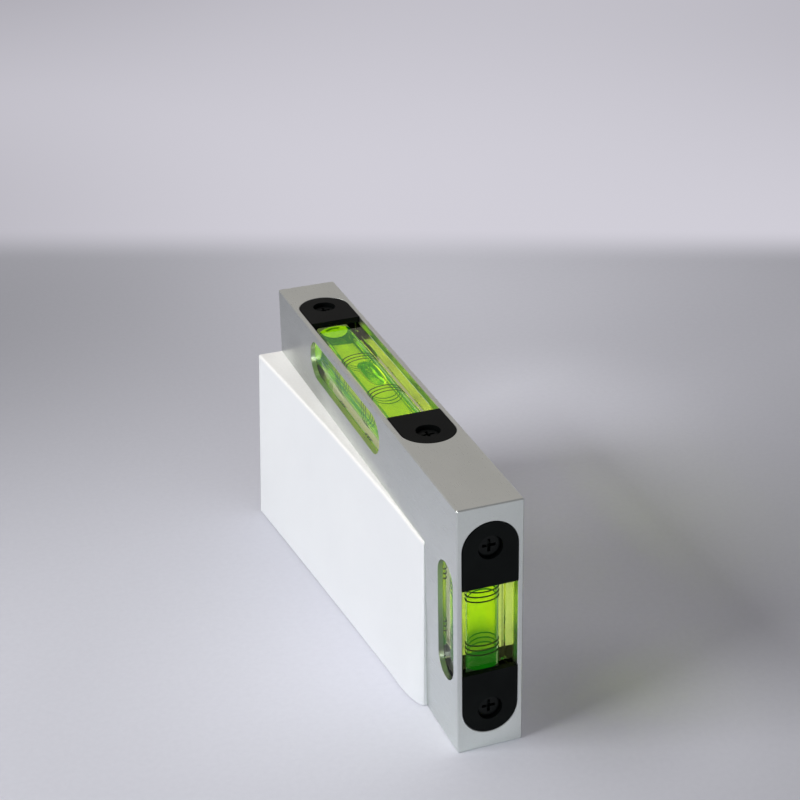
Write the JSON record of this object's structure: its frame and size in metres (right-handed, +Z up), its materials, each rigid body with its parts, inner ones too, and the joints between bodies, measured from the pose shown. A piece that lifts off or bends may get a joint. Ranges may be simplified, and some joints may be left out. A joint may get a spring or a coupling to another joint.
{
  "type": "spirit level",
  "caption": "Short flat aluminium spirit level with a long vial in its top edge, a plumb vial in one end face and a white side grip along one flank.",
  "frame": {"origin": "centre of the bar's base face, the narrow edge that it stands on", "axes": "+Z up from the base face, +Y along the bar towards the end without a vial, +X across the bar, away from the side grip"},
  "size_m": [0.0252, 0.125, 0.06],
  "materials": {
    "satin_aluminium": "fine ground, satin",
    "black_plastic": "moulded, fine matte",
    "blackened_screw": "black oxide",
    "clear_acrylic": "polished",
    "yellow_green_liquid": "clear liquid",
    "air_bubble": "clear",
    "pale_plug": "moulded",
    "ring_ink": "ink",
    "white_backing": "white film",
    "white_grip": "moulded, matte",
    "steel_pin": "ground",
    "adhesive_foam": "foam",
    "dark_plug": "moulded"
  },
  "bodies": {
    "frame": {"bar_frame": "satin_aluminium", "top_holder_front": "black_plastic", "top_holder_rear": "black_plastic", "plumb_holder_upper": "black_plastic", "plumb_holder_lower": "black_plastic", "top_screw_front": "blackened_screw", "top_screw_rear": "blackened_screw", "plumb_screw_upper": "blackened_screw", "plumb_screw_lower": "blackened_screw", "top_vial_block": "clear_acrylic", "plumb_vial_block": "clear_acrylic", "top_vial_fluid": "yellow_green_liquid", "plumb_vial_fluid": "yellow_green_liquid", "top_vial_plug": "pale_plug", "plumb_vial_plug": "dark_plug", "top_vial_backing": "white_backing", "plumb_vial_backing": "white_backing", "top_rings_front": "ring_ink", "top_rings_rear": "ring_ink", "plumb_rings_upper": "ring_ink", "plumb_rings_lower": "ring_ink", "side_grip": "white_grip", "side_grip_pins": "steel_pin", "side_grip_pads": "adhesive_foam"},
    "top_bubble": {"top_vial_bubble": "air_bubble"},
    "plumb_bubble": {"plumb_vial_bubble": "air_bubble"}
  },
  "joints": [
    {"name": "top_bubble_travel", "type": "slide", "parent": "frame", "child": "top_bubble", "axis": [0, 1, 0], "range_m": [-0.0232, 0.0212]},
    {"name": "plumb_bubble_travel", "type": "slide", "parent": "frame", "child": "plumb_bubble", "axis": [0, 0, 1], "range_m": [-0.0203, 0]}
  ]
}
